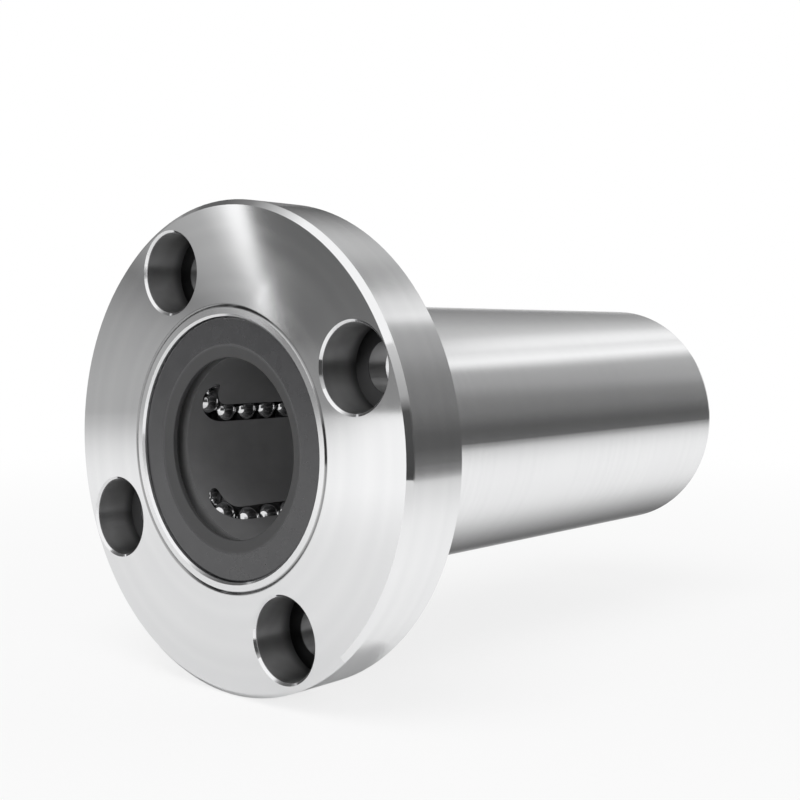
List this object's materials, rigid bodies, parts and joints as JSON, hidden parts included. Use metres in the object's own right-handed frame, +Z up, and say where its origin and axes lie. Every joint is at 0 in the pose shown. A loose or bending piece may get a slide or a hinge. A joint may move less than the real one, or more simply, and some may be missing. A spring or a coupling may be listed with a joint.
{
  "type": "flanged linear ball bushing",
  "caption": "Long linear ball bushing with a round counterbored flange at one end and a plain ground steel sleeve; ball rows in cages carry a shaft through sealed ends.",
  "frame": {"origin": "on the shaft axis at the flange's back face, which seats on the housing", "axes": "+Y along the shaft axis, from the flange towards the sleeve's far end; +Z up"},
  "size_m": [0.054, 0.08, 0.054],
  "materials": {
    "flange_steel": "ground and fine turned",
    "sleeve_steel": "hardened, cylindrically ground",
    "cage_resin": "moulded, satin",
    "seal_rubber": "moulded nitrile, satin",
    "plate_steel": "stamped sheet",
    "spring_steel": "blackened spring steel",
    "ball_steel": "lapped bearing steel"
  },
  "bodies": {
    "bushing": {"flange": "flange_steel", "outer_sleeve": "sleeve_steel", "front_cage": "cage_resin", "front_turn_balls": "ball_steel", "front_seal": "seal_rubber", "front_seal_plate": "plate_steel", "front_retaining_ring": "spring_steel", "rear_cage": "cage_resin", "rear_turn_balls": "ball_steel", "rear_seal": "seal_rubber", "rear_seal_plate": "plate_steel", "rear_retaining_ring": "spring_steel"},
    "front_loaded_rows": {"front_loaded_balls_1": "ball_steel", "front_loaded_balls_2": "ball_steel", "front_loaded_balls_3": "ball_steel", "front_loaded_balls_4": "ball_steel", "front_loaded_balls_5": "ball_steel"},
    "front_return_rows": {"front_return_balls_1": "ball_steel", "front_return_balls_2": "ball_steel", "front_return_balls_3": "ball_steel", "front_return_balls_4": "ball_steel", "front_return_balls_5": "ball_steel"},
    "rear_loaded_rows": {"rear_loaded_balls_1": "ball_steel", "rear_loaded_balls_2": "ball_steel", "rear_loaded_balls_3": "ball_steel", "rear_loaded_balls_4": "ball_steel", "rear_loaded_balls_5": "ball_steel"},
    "rear_return_rows": {"rear_return_balls_1": "ball_steel", "rear_return_balls_2": "ball_steel", "rear_return_balls_3": "ball_steel", "rear_return_balls_4": "ball_steel", "rear_return_balls_5": "ball_steel"}
  },
  "joints": [
    {"name": "front_loaded_travel", "type": "slide", "parent": "bushing", "child": "front_loaded_rows", "axis": [0, 1, 0], "range_m": [0, 0.00275]},
    {"name": "front_return_travel", "type": "slide", "parent": "bushing", "child": "front_return_rows", "axis": [0, 1, 0], "range_m": [-0.00275, 0]},
    {"name": "rear_loaded_travel", "type": "slide", "parent": "bushing", "child": "rear_loaded_rows", "axis": [0, 1, 0], "range_m": [0, 0.00275]},
    {"name": "rear_return_travel", "type": "slide", "parent": "bushing", "child": "rear_return_rows", "axis": [0, 1, 0], "range_m": [-0.00275, 0]}
  ],
  "couplings": [
    {"joint": "front_return_travel", "follows": "front_loaded_travel", "ratio": -1},
    {"joint": "rear_loaded_travel", "follows": "front_loaded_travel", "ratio": 1},
    {"joint": "rear_return_travel", "follows": "front_loaded_travel", "ratio": -1}
  ]
}
